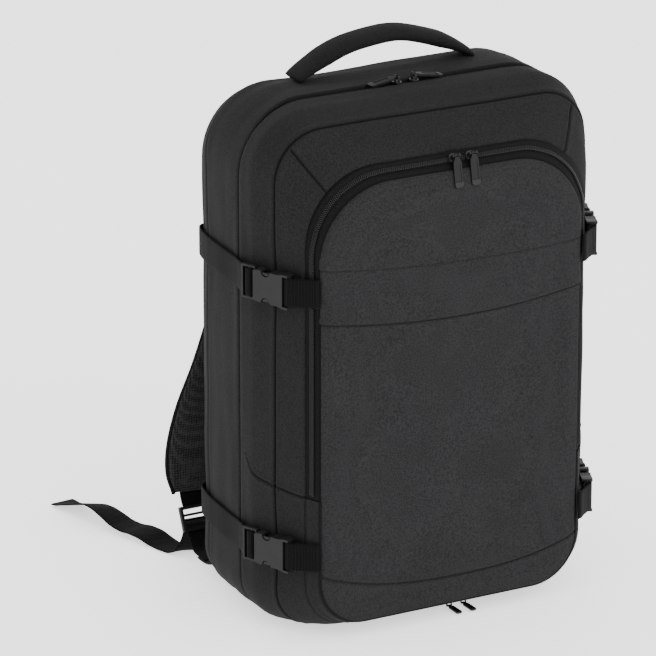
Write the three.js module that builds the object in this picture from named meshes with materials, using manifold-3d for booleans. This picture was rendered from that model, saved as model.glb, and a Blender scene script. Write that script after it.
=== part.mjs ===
// Cabin-size travel backpack, millimetres, +Z up, the front pocket facing -Y.
// The origin is the middle of the flat base panel that the bag stands on.
// Pieces made once for the right side (+X) are mirrored to the left side.
import * as THREE from "three";
import { mergeVertices } from "three/addons/utils/BufferGeometryUtils.js";
import Module from "manifold-3d";

const wasm = await Module();
wasm.setup();

// Driving dimensions.
const GAP = 0.3; // clearance between pieces that rest on each other
const SKIN = 3; // padded fabric wall
const WEB_WIDTH = 25; // compression and shoulder webbing
const WEB_THICK = 1.3;
const CORNER_STEPS = 6; // facets in each rounded corner of the bag's outline

// Cross-sections of the bag, back to front: y, half width, bottom, top, top and bottom corner radius.
const STATIONS = [
  { y: 86, w: 141, z0: 11, z1: 433, rt: 50, rb: 34 },
  { y: 78, w: 149.5, z0: 4, z1: 446, rt: 54, rb: 36 },
  { y: 58, w: 154.5, z0: 1.8, z1: 455, rt: 58, rb: 38 },
  { y: 35, w: 156.5, z0: 1.8, z1: 458.5, rt: 62, rb: 40 },
  { y: 10, w: 157.5, z0: 1.8, z1: 459, rt: 64, rb: 40 },
  { y: -1, w: 158, z0: 1.8, z1: 459, rt: 62, rb: 40 },
  { y: -11, w: 158, z0: 1.8, z1: 458, rt: 60, rb: 40 },
  { y: -28, w: 156.5, z0: 1.8, z1: 456, rt: 52, rb: 40 },
  { y: -52, w: 148, z0: 5, z1: 446, rt: 42, rb: 38 },
  { y: -77, w: 134.5, z0: 11, z1: 419, rt: 66, rb: 44 },
  { y: -89, w: 125, z0: 14, z1: 404, rt: 66, rb: 44 },
];
const BACK_Y = 86; // the back face, under the padding
const ZIP_REAR_Y = -1; // the main zip runs between these two depths
const ZIP_FRONT_Y = -11;
const BEVEL_BACK_Y = -77; // the front pocket's zip tape covers the bevel between these two
const BEVEL_FRONT_Y = -89;
const MAIN_ZIP_FOOT = 60; // height where the main zip ends on each side
const POCKET_ZIP_FOOT = 132; // height where the front pocket's zip ends
const UPPER_STRAP_Z = 316;
const LOWER_STRAP_Z = 81;

const material = (name, color, roughness, metalness = 0) =>
  new THREE.MeshStandardMaterial({ name, color, roughness, metalness });
const fabric = material("fabric", 0x2c2b2d, 0.9);
const mesh3d = material("air_mesh", 0x19191a, 1);
const webbing = material("webbing", 0x1b1b1c, 0.8);
const zipTape = material("zip_tape", 0x171718, 0.75);
const plastic = material("buckle_plastic", 0x3a3a3b, 0.45);
const gunmetal = material("slider_metal", 0x2a2a2c, 0.35, 0.9);
const pullPlastic = material("pull_plastic", 0x151516, 0.5);
const board = material("stiffener", 0x3a3a3c, 0.7);
const lining = material("lining", 0x3b3b3e, 0.9);

const bag = new THREE.Group();

function add(name, geometry, mat, place) {
  const mesh = new THREE.Mesh(geometry, mat);
  mesh.name = name;
  if (place) place(mesh);
  bag.add(mesh);
  return mesh;
}

function addPair(name, geometry, mat, place) {
  add(`${name}_right`, geometry, mat, place);
  const mirror = new THREE.Group();
  mirror.scale.x = -1;
  const mesh = new THREE.Mesh(geometry, mat);
  mesh.name = `${name}_left`;
  if (place) place(mesh);
  mirror.add(mesh);
  bag.add(mirror);
}

// ---- Joining and cutting ----

function toSolid(geometry) {
  const plain = geometry.clone();
  plain.deleteAttribute("normal");
  plain.deleteAttribute("uv");
  const merged = mergeVertices(plain, 1e-4);
  return new wasm.Manifold(
    new wasm.Mesh({
      numProp: 3,
      vertProperties: merged.attributes.position.array,
      triVerts: new Uint32Array(merged.index.array),
    }),
  );
}

function toGeometry(solid) {
  const made = solid.getMesh();
  const geometry = new THREE.BufferGeometry();
  geometry.setAttribute("position", new THREE.BufferAttribute(made.vertProperties, 3));
  geometry.setIndex(new THREE.BufferAttribute(made.triVerts, 1));
  geometry.computeVertexNormals();
  return geometry;
}

// A box from its lowest to its highest corner.
function boxBetween([x0, y0, z0], [x1, y1, z1]) {
  const box = new THREE.BoxGeometry(x1 - x0, y1 - y0, z1 - z0);
  return box.translate((x0 + x1) / 2, (y0 + y1) / 2, (z0 + z1) / 2);
}

const join = (...pieces) => toGeometry(pieces.map(toSolid).reduce((a, b) => a.add(b)));
const cut = (from, ...tools) => toGeometry(tools.map(toSolid).reduce((a, b) => a.subtract(b), toSolid(from)));
const common = (a, b) => toGeometry(toSolid(a).intersect(toSolid(b)));

// ---- Lofted shells ----

// The bag's cross-section at a depth, between the stations above.
function sectionAt(y) {
  const i = STATIONS.findIndex((s) => s.y <= y);
  const a = STATIONS[Math.max(i - 1, 0)];
  const b = STATIONS[i < 0 ? STATIONS.length - 1 : i];
  const t = a.y === b.y ? 0 : (a.y - y) / (a.y - b.y);
  const at = (key) => a[key] + (b[key] - a[key]) * t;
  return { y, w: at("w"), z0: at("z0"), z1: at("z1"), rt: at("rt"), rb: at("rb") };
}

// A rounded rectangle in the XZ plane, counter-clockwise seen from the front.
function ring({ y, w, z0, z1, rt, rb }, inset = 0) {
  const corners = [
    { x: w - rb, z: z0 + rb, r: rb, from: -90 },
    { x: w - rt, z: z1 - rt, r: rt, from: 0 },
    { x: rt - w, z: z1 - rt, r: rt, from: 90 },
    { x: rb - w, z: z0 + rb, r: rb, from: 180 },
  ];
  return corners.flatMap(({ x, z, r, from }) =>
    Array.from({ length: CORNER_STEPS + 1 }, (_, i) => {
      const angle = THREE.MathUtils.degToRad(from + (90 * i) / CORNER_STEPS);
      const radius = r - inset;
      return new THREE.Vector3(x + radius * Math.cos(angle), y, z + radius * Math.sin(angle));
    }),
  );
}

// Skins a list of rings in order. An open list is capped at both ends, a closed one joins up.
function loft(rings, closed = false) {
  const size = rings[0].length;
  const points = rings.flat();
  const faces = [];
  const spans = closed ? rings.length : rings.length - 1;
  for (let k = 0; k < spans; k++)
    for (let i = 0; i < size; i++) {
      const a = k * size + i;
      const b = k * size + ((i + 1) % size);
      const next = ((k + 1) % rings.length) * size;
      const d = next + i;
      const c = next + ((i + 1) % size);
      faces.push(a, d, c, a, c, b);
    }
  if (!closed)
    [0, rings.length - 1].forEach((k) => {
      const centre = rings[k].reduce((sum, p) => sum.add(p), new THREE.Vector3()).divideScalar(size);
      const hub = points.push(centre) - 1;
      for (let i = 0; i < size; i++) {
        const a = k * size + i;
        const b = k * size + ((i + 1) % size);
        if (k === 0) faces.push(hub, a, b);
        else faces.push(hub, b, a);
      }
    });
  const geometry = new THREE.BufferGeometry().setFromPoints(points);
  geometry.setIndex(faces);
  geometry.computeVertexNormals();
  return geometry;
}

const between = (back, front) => [
  front,
  ...STATIONS.map((s) => s.y).filter((y) => y > front && y < back).sort((a, b) => a - b),
  back,
];

// A tube of the bag's skin between two depths, open at both ends.
function skinTube(back, front, outerInset = 0, thick = SKIN) {
  const depths = between(back, front);
  const outer = depths.map((y) => ring(sectionAt(y), outerInset));
  const inner = depths.map((y) => ring(sectionAt(y), outerInset + thick)).reverse();
  return loft([...outer, ...inner], true);
}

// The rear compartment: a tub that is open towards the front.
function rearShell() {
  const depths = between(BACK_Y, ZIP_REAR_Y);
  const outer = depths.map((y) => ring(sectionAt(y)));
  const inner = depths.map((y) => ring(sectionAt(Math.min(y, BACK_Y - SKIN)), SKIN)).reverse();
  return loft([...inner, ...outer]);
}

// The front pocket's face: a shallow dish, closed at the front.
function frontPanel() {
  const edge = sectionAt(BEVEL_FRONT_Y);
  const at = (y, inset) => ring({ ...edge, y }, inset);
  return loft([
    at(-94.5, 40), at(-92.5, 14), at(-89 - GAP, 0), at(-89 - GAP, SKIN), at(-89.8, 15), at(-91.5, 41),
  ]);
}

// A rounded plate across the bag's inside, between two depths.
function innerPlate(back, front, clearance, limits = {}) {
  const section = sectionAt((back + front) / 2);
  const at = (y) => ring({ ...section, ...limits, y }, clearance);
  return loft([at(front), at(back)]);
}

// ---- Bands and sweeps ----

// The outline of a strip of even thickness along a list of [x, y] points.
function stripShape(path, thick) {
  const points = path.map(([x, y]) => new THREE.Vector2(x, y));
  const side = (sign) =>
    points.map((p, i) => {
      const before = points[Math.max(i - 1, 0)];
      const after = points[Math.min(i + 1, points.length - 1)];
      const along = after.clone().sub(before).normalize();
      return new THREE.Vector2(p.x - along.y * sign, p.y + along.x * sign);
    });
  const offset = (sign) =>
    side(sign).map((q, i) => q.sub(points[i]).multiplyScalar(thick / 2).add(points[i]));
  return new THREE.Shape([...offset(-1), ...offset(1).reverse()]);
}

// A strap standing on edge: a strip in plan, as tall as the webbing is wide.
function uprightStrap(path, centreZ) {
  const outline = stripShape(path, WEB_THICK);
  const strap = new THREE.ExtrudeGeometry(outline, { depth: WEB_WIDTH, bevelEnabled: false });
  return strap.translate(0, 0, centreZ - WEB_WIDTH / 2);
}

// An eight-sided section, width across and thickness through, with cut corners.
function softSection(width, thick, corner) {
  const [a, b] = [width / 2, thick / 2];
  return [
    [a - corner, -b], [a, -b + corner], [a, b - corner], [a - corner, b],
    [corner - a, b], [-a, b - corner], [-a, corner - b], [corner - a, -b],
  ];
}

// Sweeps a section along points. Each point holds its place and the direction of the section's width.
function sweep(stations) {
  return loft(
    stations.map(({ at, across, section }, i) => {
      const before = stations[Math.max(i - 1, 0)].at;
      const after = stations[Math.min(i + 1, stations.length - 1)].at;
      const along = after.clone().sub(before).normalize();
      const width = across.clone().addScaledVector(along, -across.dot(along)).normalize();
      const through = width.clone().cross(along);
      return section.map(([a, b]) => at.clone().addScaledVector(width, a).addScaledVector(through, b));
    }),
  );
}

const vec = (x, y, z) => new THREE.Vector3(x, y, z);
const ACROSS_X = vec(1, 0, 0);
const ACROSS_Y = vec(0, 1, 0);

// ---- Bag body ----

function buildShells() {
  add("rear_shell", rearShell(), fabric);
  add("front_shell", skinTube(ZIP_FRONT_Y, BEVEL_BACK_Y + GAP), fabric);
  add("front_panel", frontPanel(), fabric);

  const above = (z) => boxBetween([-300, -200, z], [300, 200, 700]);
  const below = (z) => boxBetween([-300, -200, -100], [300, 200, z]);
  const mainRing = skinTube(ZIP_REAR_Y - GAP, ZIP_FRONT_Y + GAP, 3, 2);
  add("main_zip_tape", common(mainRing, above(MAIN_ZIP_FOOT)), zipTape);
  add("bottom_hinge_gusset", common(mainRing, below(MAIN_ZIP_FOOT - GAP)), fabric);
  const bevelRing = skinTube(BEVEL_BACK_Y - GAP, BEVEL_FRONT_Y + GAP);
  add("pocket_zip_tape", common(bevelRing, above(POCKET_ZIP_FOOT)), zipTape);
  add("lower_front_gusset", common(bevelRing, below(POCKET_ZIP_FOOT - GAP)), fabric);

  add("base_panel", boxBetween([-112, -50, 0], [112, 68, 1.5]), fabric);
  add("base_board", boxBetween([-108, -44, 7.5], [108, 56, 10]), board);
  add("pocket_wall", innerPlate(-56, -58, SKIN + 4), lining);
  add("laptop_divider", innerPlate(63, 59, SKIN + 3, { z1: 345, rt: 30 }), lining);
  add("back_board", innerPlate(81, 79, 14), board);
}

function buildBack() {
  const plate = (lift, inset) => ring({ ...sectionAt(BACK_Y), y: BACK_Y + lift }, inset);
  add("back_panel", loft([plate(GAP, 4), plate(4, 5), plate(5.5, 10)]), mesh3d);
  const pad = (x0, x1, z0, z1) => {
    const shape = { w: (x1 - x0) / 2, z0, z1, rt: 22, rb: 22 };
    const at = (lift, inset) =>
      ring({ ...shape, y: BACK_Y + lift }, inset).map((p) => p.setX(p.x + (x0 + x1) / 2));
    return loft([at(5.5 + GAP, 0), at(11, 1), at(14, 6)]);
  };
  addPair("back_pad", pad(14, 108, 150, 400), mesh3d);
  add("lumbar_pad", pad(-108, 108, 46, 138), mesh3d);
}

// ---- Carry handle ----

function buildHandle() {
  const halfSpan = 82;
  const rise = 27;
  const foot = 461;
  const handleY = 38;
  const steps = 14;
  const stations = Array.from({ length: steps + 1 }, (_, i) => {
    const t = (2 * i) / steps - 1;
    const lift = Math.cos((t * Math.PI) / 2);
    return {
      at: vec(t * halfSpan, handleY, foot + rise * lift),
      across: ACROSS_Y,
      section: softSection(28, 3 + 6 * Math.min(1, 2 * lift), 1.2 + 1.8 * Math.min(1, 2 * lift)),
    };
  });
  add("carry_handle", sweep(stations), fabric);
}

// ---- Shoulder straps ----

// The right strap's line down the bag's back: x, y, z and the padding's width.
const STRAP_LINE = [
  [58, 107, 416, 62], [59, 109, 392, 66], [64, 110, 350, 68], [74, 112, 300, 68], [88, 116, 245, 68],
  [102, 124, 190, 68], [115, 135, 145, 66], [122, 144, 108, 62], [126, 147, 80, 54], [127.5, 144, 60, 42],
];
const STRAP_THICK = 12;
const ADJUSTER = { x: 128, y: 134.5, z: 38, tilt: 25 }; // the ladder lock, leaning this far from upright

// The free webbing tail: out of the ladder lock, down to the floor and away behind the bag.
const TAIL_LINE = [
  [128, 137.6, 36.4], [128.2, 138, 28], [129, 139.5, 19], [131, 142.5, 10.5], [134, 147, 4.2],
  [137.5, 154, 1.5], [141.5, 164, 1.7], [145.5, 175, 3.6], [149.5, 186, 6.4], [153.5, 198, 7],
  [157.5, 210, 6], [161, 222, 7], [164.5, 234, 10.5], [168, 246, 13.5], [171, 258, 13.5], [174, 270, 10],
  [176.5, 282, 6], [179, 294, 2.6], [181, 304, 1.4],
];

function buildStraps() {
  const padding = STRAP_LINE.map(([x, y, z, width]) => ({
    at: vec(x, y, z),
    across: ACROSS_X,
    section: softSection(width, STRAP_THICK, 3.5),
  }));
  addPair("shoulder_strap", sweep(padding), mesh3d);
  addPair("strap_yoke", boxBetween([26, 101, 419], [92, 106, 426]), webbing);

  const slot = (z) => boxBetween([-13.2, -5, z], [13.2, 5, z + 4.2]);
  const frame = cut(boxBetween([-16.5, -2, -11], [16.5, 2, 11]), slot(4.4), slot(-2.1), slot(-8.6));
  const place = (mesh) => {
    mesh.position.set(ADJUSTER.x, ADJUSTER.y, ADJUSTER.z);
    mesh.rotation.x = THREE.MathUtils.degToRad(-ADJUSTER.tilt);
  };
  addPair("strap_adjuster", frame, plastic, place);

  const flat = softSection(WEB_WIDTH, 1.5, 0.4);
  const flatAt = ([x, y, z]) => ({ at: vec(x, y, z), across: ACROSS_X, section: flat });
  const web = (line) => sweep(line.map(flatAt));
  addPair("webbing_tail", web(TAIL_LINE), webbing);
  const lowerLine = [[128.5, 125, 22], [129.5, 117.5, 17], [130.5, 111, 15], [130.5, 106.5, 14.8]];
  addPair("lower_webbing", web(lowerLine), webbing);
  addPair("corner_tab", boxBetween([117, 86.4, 13], [144, 104, 16]), fabric);
}

// ---- Compression straps and side-release buckles ----

// The buckle's own frame: u forward along the strap, v across it, n out from the bag. u = 0 is its rear end.
const BUCKLE = { x: 161.9, y: -26.2, forward: [-0.407, -0.914] };
const fromBuckle = (u, n) => {
  const [fx, fy] = BUCKLE.forward;
  return [BUCKLE.x + fx * u - fy * n, BUCKLE.y + fy * u + fx * n];
};

function maleBuckle() {
  const slots = [[2, 6.7], [9.3, 13.5]].map(([a, b]) => boxBetween([a, -12.9, 0], [b, 12.9, 6]));
  const frame = cut(boxBetween([-0.5, -15, 1], [16, 15, 4.5]), ...slots);
  const neck = boxBetween([14, -11.8, 0.5], [21, 11.8, 6]);
  const tongue = boxBetween([20, -2.5, 1.5], [38, 2.5, 5]);
  const arm = (s) => boxBetween([20, Math.min(8.4 * s, 10.6 * s), 1.2], [37, Math.max(8.4 * s, 10.6 * s), 5.2]);
  const button = (s) =>
    boxBetween([23, Math.min(7.6 * s, 11.8 * s), 0.8], [32, Math.max(7.6 * s, 11.8 * s), 5.6]);
  return join(frame, neck, tongue, arm(1), arm(-1), button(1), button(-1));
}

function femaleBuckle() {
  const outline = new THREE.Shape();
  outline.moveTo(19, -14);
  outline.quadraticCurveTo(32, -15.4, 42, -13.8);
  outline.lineTo(50.6, -15);
  outline.lineTo(50.6, 15);
  outline.lineTo(42, 13.8);
  outline.quadraticCurveTo(32, 15.4, 19, 14);
  const block = new THREE.ExtrudeGeometry(outline, { depth: 9.4, bevelEnabled: false, curveSegments: 5 });
  block.translate(0, 0, -1.5);
  return cut(
    block,
    boxBetween([10, -12.4, 0], [42, 12.4, 6.4]), // socket for the prongs
    boxBetween([21.8, -20, 0], [33.2, 20, 6.4]), // side windows for the two buttons
    boxBetween([44, -13, -5], [48.2, 13, 12]), // webbing slot
    boxBetween([47.9, -13, 5], [55, 13, 12]),
    boxBetween([47.9, -13, -5], [55, 13, 1.5]),
  );
}

function buildCompressionStraps() {
  const rearLine = [
    [151.4, 79], [156.3, 58], [158.6, 32], [159.5, 8], [160.2, -5], [161.6, -15],
    ...[
      [-3, -0.1], [0.8, -0.1], [3.2, 0.2], [4.3, 2.6], [5.2, 4.7], [6.6, 5.6], [9.4, 5.6], [10.8, 4.7],
      [11.4, 2.6], [11.5, -0.6],
    ].map(([u, n]) => fromBuckle(u, n)),
  ];
  const frontLine = [
    [73, -4.9], [66, -2.2], [59, 1.6], [53.8, 5], [50.9, 6.1], [48.2, 6.2], [46.6, 5.4], [46.2, 3.2],
    [46.6, 1], [48, 0.3], [50.6, 0.3], [53.4, 0.1], [58, -1.6], [65.6, -4.6], [71.4, -6.8],
  ].map(([u, n]) => fromBuckle(u, n));
  const male = maleBuckle();
  const female = femaleBuckle();
  const [fx, fy] = BUCKLE.forward;
  const basis = new THREE.Matrix4().makeBasis(vec(fx, fy, 0), vec(0, 0, -1), vec(-fy, fx, 0));
  [["upper", UPPER_STRAP_Z], ["lower", LOWER_STRAP_Z]].forEach(([level, z]) => {
    const place = (mesh) => {
      mesh.position.set(BUCKLE.x, BUCKLE.y, z);
      mesh.setRotationFromMatrix(basis);
    };
    addPair(`${level}_side_strap`, uprightStrap(rearLine, z), webbing);
    addPair(`${level}_strap_stub`, uprightStrap(frontLine, z), webbing);
    addPair(`${level}_buckle_male`, male, plastic, place);
    addPair(`${level}_buckle_female`, female, plastic, place);
  });
}

// ---- Zip sliders and pulls ----

const BAR_HEIGHT = 7; // the bar's axis above the zip
const SLIDER_RAISE = GAP + 0.1;

// A slider in its own frame: x along the zip, y across it, z out of it. The bar for the pull lies along x.
function slider(barLength) {
  const body = new THREE.CylinderGeometry(4.2, 4.2, 3, 12).rotateX(Math.PI / 2).translate(0, 0, 1.5);
  const post = (x) => boxBetween([x - 0.9, -1.3, 2], [x + 0.9, 1.3, BAR_HEIGHT + 1]);
  const bar = new THREE.CylinderGeometry(0.7, 0.7, barLength + 1, 8).rotateZ(Math.PI / 2);
  bar.translate(0, 0, BAR_HEIGHT);
  const half = barLength / 2 + 0.9;
  return join(body, post(-half), post(half), bar);
}

// A pull in its own frame: the bar's axis is x, and the tab points along -y.
function pullTab(width, length, thick) {
  const knuckle = new THREE.CylinderGeometry(1.8, 1.8, 3.8, 12).rotateZ(Math.PI / 2);
  const shape = new THREE.Shape();
  const half = width / 2;
  shape.moveTo(-1.8, -1);
  shape.lineTo(-1.8, -2.4);
  shape.lineTo(-half, -4.6);
  shape.lineTo(-half, -length + 2);
  shape.quadraticCurveTo(-half, -length, 2 - half, -length);
  shape.lineTo(half - 2, -length);
  shape.quadraticCurveTo(half, -length, half, 2 - length);
  shape.lineTo(half, -4.6);
  shape.lineTo(1.8, -2.4);
  shape.lineTo(1.8, -1);
  const tab = new THREE.ExtrudeGeometry(shape, { depth: thick, bevelEnabled: false, curveSegments: 4 });
  tab.translate(0, 0, -thick / 2);
  const bore = new THREE.CylinderGeometry(1.1, 1.1, 6, 12).rotateZ(Math.PI / 2);
  return cut(join(knuckle, tab), bore);
}

// One slider and its pull. turn carries the slider's frame into the bag's, and hang tips the pull.
function zipper(name, origin, turn, hang, scale = 1) {
  const frame = new THREE.Group();
  frame.position.copy(origin);
  frame.quaternion.copy(turn);
  frame.scale.setScalar(scale);
  const body = new THREE.Mesh(slider(4.6), gunmetal);
  body.name = `${name}_slider`;
  body.position.z = SLIDER_RAISE;
  const tab = new THREE.Mesh(pullTab(8, 27, 2), pullPlastic);
  tab.name = `${name}_pull`;
  tab.position.z = SLIDER_RAISE + BAR_HEIGHT;
  tab.rotation.x = hang;
  frame.add(body, tab);
  bag.add(frame);
}

function facing(alongZip, outward) {
  const across = outward.clone().cross(alongZip);
  const basis = new THREE.Matrix4().makeBasis(alongZip, across, outward);
  return new THREE.Quaternion().setFromRotationMatrix(basis);
}

function buildZippers() {
  // Front pocket: on the bevel above the pocket's face. The pulls hang over its edge.
  const slope = vec(0, -0.781, 0.625);
  const pocketTop = (x) => vec(x, -83, 411.6);
  const hangDown = THREE.MathUtils.degToRad(27);
  zipper("pocket_left", pocketTop(3), facing(ACROSS_X, slope), hangDown);
  zipper("pocket_right", pocketTop(19), facing(ACROSS_X, slope), hangDown);

  // Main compartment: in the groove across the top. The bars lie across the zip and the pulls lie along it.
  const up = vec(0, 0, 1);
  const top = (x) => vec(x, -6, 455.9);
  const layDown = THREE.MathUtils.degToRad(10);
  zipper("main_left", top(-8), facing(vec(0, -1, 0), up), layDown);
  zipper("main_right", top(8), facing(vec(0, 1, 0), up), layDown);

  // Base pocket: under the front edge, with the pulls pointing forwards.
  const scale = 0.7;
  const under = vec(0, -0.233, -0.9725);
  const bottom = (x) => vec(x, -66.1, 6.75);
  const forward = THREE.MathUtils.degToRad(-12);
  zipper("base_left", bottom(12), facing(vec(-1, 0, 0), under), forward, scale);
  zipper("base_right", bottom(26), facing(vec(-1, 0, 0), under), forward, scale);
  const tape = boxBetween([-90, -5, 0], [90, 5, 0.8]);
  add("base_zip_tape", tape, zipTape, (mesh) => {
    mesh.position.set(0, -66, 7.6);
    mesh.quaternion.copy(facing(ACROSS_X, under));
  });
}

buildShells();
buildBack();
buildHandle();
buildStraps();
buildCompressionStraps();
buildZippers();

export default bag;
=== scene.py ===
"""The looks of a cabin-size travel backpack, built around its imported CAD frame.

Shapes are worked out in millimetres in the frame's own axes (front at -Y, up +Z) and turned to metres
where each mesh is made. The bag's skins are lofted from the same cross-sections as the CAD shells.
"""

import math

import bmesh
import bpy
import numpy as np
from mathutils import Matrix, Vector, noise


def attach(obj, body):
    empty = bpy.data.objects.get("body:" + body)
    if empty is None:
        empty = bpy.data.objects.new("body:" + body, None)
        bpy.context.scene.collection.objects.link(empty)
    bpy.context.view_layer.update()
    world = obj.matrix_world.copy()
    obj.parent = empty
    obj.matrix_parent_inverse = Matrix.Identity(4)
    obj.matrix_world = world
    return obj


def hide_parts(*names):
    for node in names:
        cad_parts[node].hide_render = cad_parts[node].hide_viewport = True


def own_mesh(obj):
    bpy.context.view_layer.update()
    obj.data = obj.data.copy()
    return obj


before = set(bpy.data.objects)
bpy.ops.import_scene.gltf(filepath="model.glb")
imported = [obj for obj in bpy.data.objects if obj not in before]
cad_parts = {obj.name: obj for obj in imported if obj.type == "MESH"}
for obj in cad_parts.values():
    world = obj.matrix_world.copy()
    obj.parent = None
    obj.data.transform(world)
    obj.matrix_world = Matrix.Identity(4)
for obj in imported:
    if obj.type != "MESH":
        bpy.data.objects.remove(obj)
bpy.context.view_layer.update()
MM = 0.001
BAG = "bag"
SIDES = {"right": 1, "left": -1}
STRAPS = {"upper": 316, "lower": 81}  # heights of the compression straps
WEB = 25  # webbing width
POCKET_TAPE_FOOT = 132  # heights at which the zips stop on the sides
POCKET_COIL_FOOT = 134
MAIN_COIL_FOOT = 62

# ---- Camera, floor and light ----


def add_camera():
    data = bpy.data.cameras.new("camera")
    data.sensor_width = 36
    data.lens = 276.8
    camera = bpy.data.objects.new("camera", data)
    bpy.context.scene.collection.objects.link(camera)
    camera.location = Vector((-1946, -3543, 1715)) * MM
    target = Vector((-54.8, 29.0, 236)) * MM
    camera.rotation_euler = (target - camera.location).to_track_quat("-Z", "Y").to_euler()
    bpy.context.scene.camera = camera


def add_light(name, energy, size, place, target=(0, 0, 0.2)):
    data = bpy.data.lights.new(name, "AREA")
    data.energy = energy
    data.size = size
    light = bpy.data.objects.new(name, data)
    light.location = place
    light.rotation_euler = (Vector(target) - Vector(place)).to_track_quat("-Z", "Y").to_euler()
    bpy.context.scene.collection.objects.link(light)


def add_studio():
    world = bpy.data.worlds.new("studio")
    world.use_nodes = True
    world.node_tree.nodes["Background"].inputs["Color"].default_value = (1, 1, 1, 1)
    world.node_tree.nodes["Background"].inputs["Strength"].default_value = 1.65
    bpy.context.scene.world = world
    add_light("key", 34, 1.6, (0.5, -2.4, 1.7))
    add_light("fill", 12, 2.0, (1.9, -1.3, 1.2))
    add_light("rim", 10, 1.2, (-0.6, 1.7, 1.9))
    bpy.ops.mesh.primitive_plane_add(size=16, location=(0, 0, 0))
    floor = bpy.context.object
    floor.name = "floor"
    white = plain_material("floor_white", (0.86, 0.86, 0.865), 0.9)
    glow = white.node_tree.nodes["Principled BSDF"]
    glow.inputs["Emission Color"].default_value = (1, 1, 1, 1)
    glow.inputs["Emission Strength"].default_value = 1.1
    floor.data.materials.append(white)


# ---- Materials ----


def new_material(name, color, roughness, metallic=0.0):
    material = bpy.data.materials.new(name)
    material.use_nodes = True
    shader = material.node_tree.nodes["Principled BSDF"]
    shader.inputs["Base Color"].default_value = (*color, 1)
    shader.inputs["Roughness"].default_value = roughness
    shader.inputs["Metallic"].default_value = metallic
    return material, material.node_tree, shader


def plain_material(name, color, roughness):
    return new_material(name, color, roughness)[0]


def node(tree, kind, **values):
    made = tree.nodes.new(kind)
    for key, value in values.items():
        if key in made.inputs:
            made.inputs[key].default_value = value
        else:
            setattr(made, key, value)
    return made


def object_coordinates(tree):
    return tree.nodes.new("ShaderNodeTexCoord").outputs["Object"]


def wave(tree, coords, direction, period_mm):
    """A sine across one axis, whose period is given in millimetres."""
    scale = 2 * math.pi / 20 / (period_mm * MM)
    made = node(tree, "ShaderNodeTexWave", bands_direction=direction, Scale=scale)
    made.inputs["Distortion"].default_value = 1.2
    made.inputs["Detail Scale"].default_value = 0.6
    tree.links.new(coords, made.inputs["Vector"])
    return made.outputs["Fac"]


def math_node(tree, operation, a, b):
    made = node(tree, "ShaderNodeMath", operation=operation)
    for socket, value in zip(made.inputs, (a, b)):
        if isinstance(value, (int, float)):
            socket.default_value = value
        else:
            tree.links.new(value, socket)
    return made.outputs[0]


def speckle(tree, coords, size_mm, detail=2.0):
    made = node(tree, "ShaderNodeTexNoise", Scale=1 / (size_mm * MM), Detail=detail)
    tree.links.new(coords, made.inputs["Vector"])
    return made.outputs["Fac"]


def mix_colors(tree, factor, low, high):
    ramp = node(tree, "ShaderNodeValToRGB")
    ramp.color_ramp.elements[0].position = 0.32
    ramp.color_ramp.elements[1].position = 0.68
    ramp.color_ramp.elements[0].color = (*low, 1)
    ramp.color_ramp.elements[1].color = (*high, 1)
    tree.links.new(factor, ramp.inputs["Fac"])
    return ramp.outputs["Color"]


def paint_seam_shade(tree, color):
    """Painted shade down in a seam's groove: the fabric colour is mixed towards near-black where the mesh's
    seam attribute is 1.
    """
    seam = node(tree, "ShaderNodeAttribute", attribute_name="seam")
    mixed = node(tree, "ShaderNodeMix", data_type="RGBA")
    tree.links.new(seam.outputs["Fac"], mixed.inputs["Factor"])
    tree.links.new(color, mixed.inputs["A"])
    # near-black colour of the painted seam shade
    mixed.inputs["B"].default_value = (0.002, 0.002, 0.002, 1)
    return mixed.outputs["Result"]


def bump(tree, shader, height, distance_mm, strength=1.0):
    made = node(tree, "ShaderNodeBump", Distance=distance_mm * MM, Strength=strength)
    tree.links.new(height, made.inputs["Height"])
    tree.links.new(made.outputs["Normal"], shader.inputs["Normal"])


def weave_material(name, low, high, period_mm=0.9, relief_mm=0.12):
    """Plain-weave polyester: crossed threads, with single threads dyed a little lighter or darker."""
    material, tree, shader = new_material(name, low, 0.82)
    coords = object_coordinates(tree)
    warp = wave(tree, coords, "X", period_mm)
    weft = wave(tree, coords, "Z", period_mm)
    threads = math_node(tree, "MAXIMUM", warp, weft)
    threads = math_node(tree, "MAXIMUM", threads, wave(tree, coords, "Y", period_mm))
    melange = math_node(tree, "ADD", speckle(tree, coords, 1.3), math_node(tree, "MULTIPLY", threads, 0.1))
    cloudy = math_node(tree, "MULTIPLY", speckle(tree, coords, 60), 0.12)
    tone = math_node(tree, "SUBTRACT", math_node(tree, "ADD", melange, cloudy), 0.1)
    # the weave's colour, with painted shade added down in the seam grooves
    tree.links.new(paint_seam_shade(tree, mix_colors(tree, tone, low, high)), shader.inputs["Base Color"])
    shader.inputs["Sheen Weight"].default_value = 0.01
    shader.inputs["Sheen Roughness"].default_value = 0.5
    shader.inputs["Specular IOR Level"].default_value = 0.05
    bump(tree, shader, math_node(tree, "ADD", threads, speckle(tree, coords, 2.2)), relief_mm)
    return material


def webbing_material(name, low, high):
    """Ribbed nylon webbing: fine ribs in both directions and a slight sheen."""
    material, tree, shader = new_material(name, low, 0.8)
    coords = object_coordinates(tree)
    ribs = math_node(tree, "ADD", wave(tree, coords, "Z", 1.6), wave(tree, coords, "Y", 1.6))
    ribs = math_node(tree, "ADD", ribs, wave(tree, coords, "X", 1.6))
    tone = math_node(tree, "MULTIPLY", ribs, 0.33)
    tree.links.new(mix_colors(tree, tone, low, high), shader.inputs["Base Color"])
    shader.inputs["Sheen Weight"].default_value = 0.02
    shader.inputs["Specular IOR Level"].default_value = 0.05
    bump(tree, shader, ribs, 0.14)
    return material


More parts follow.
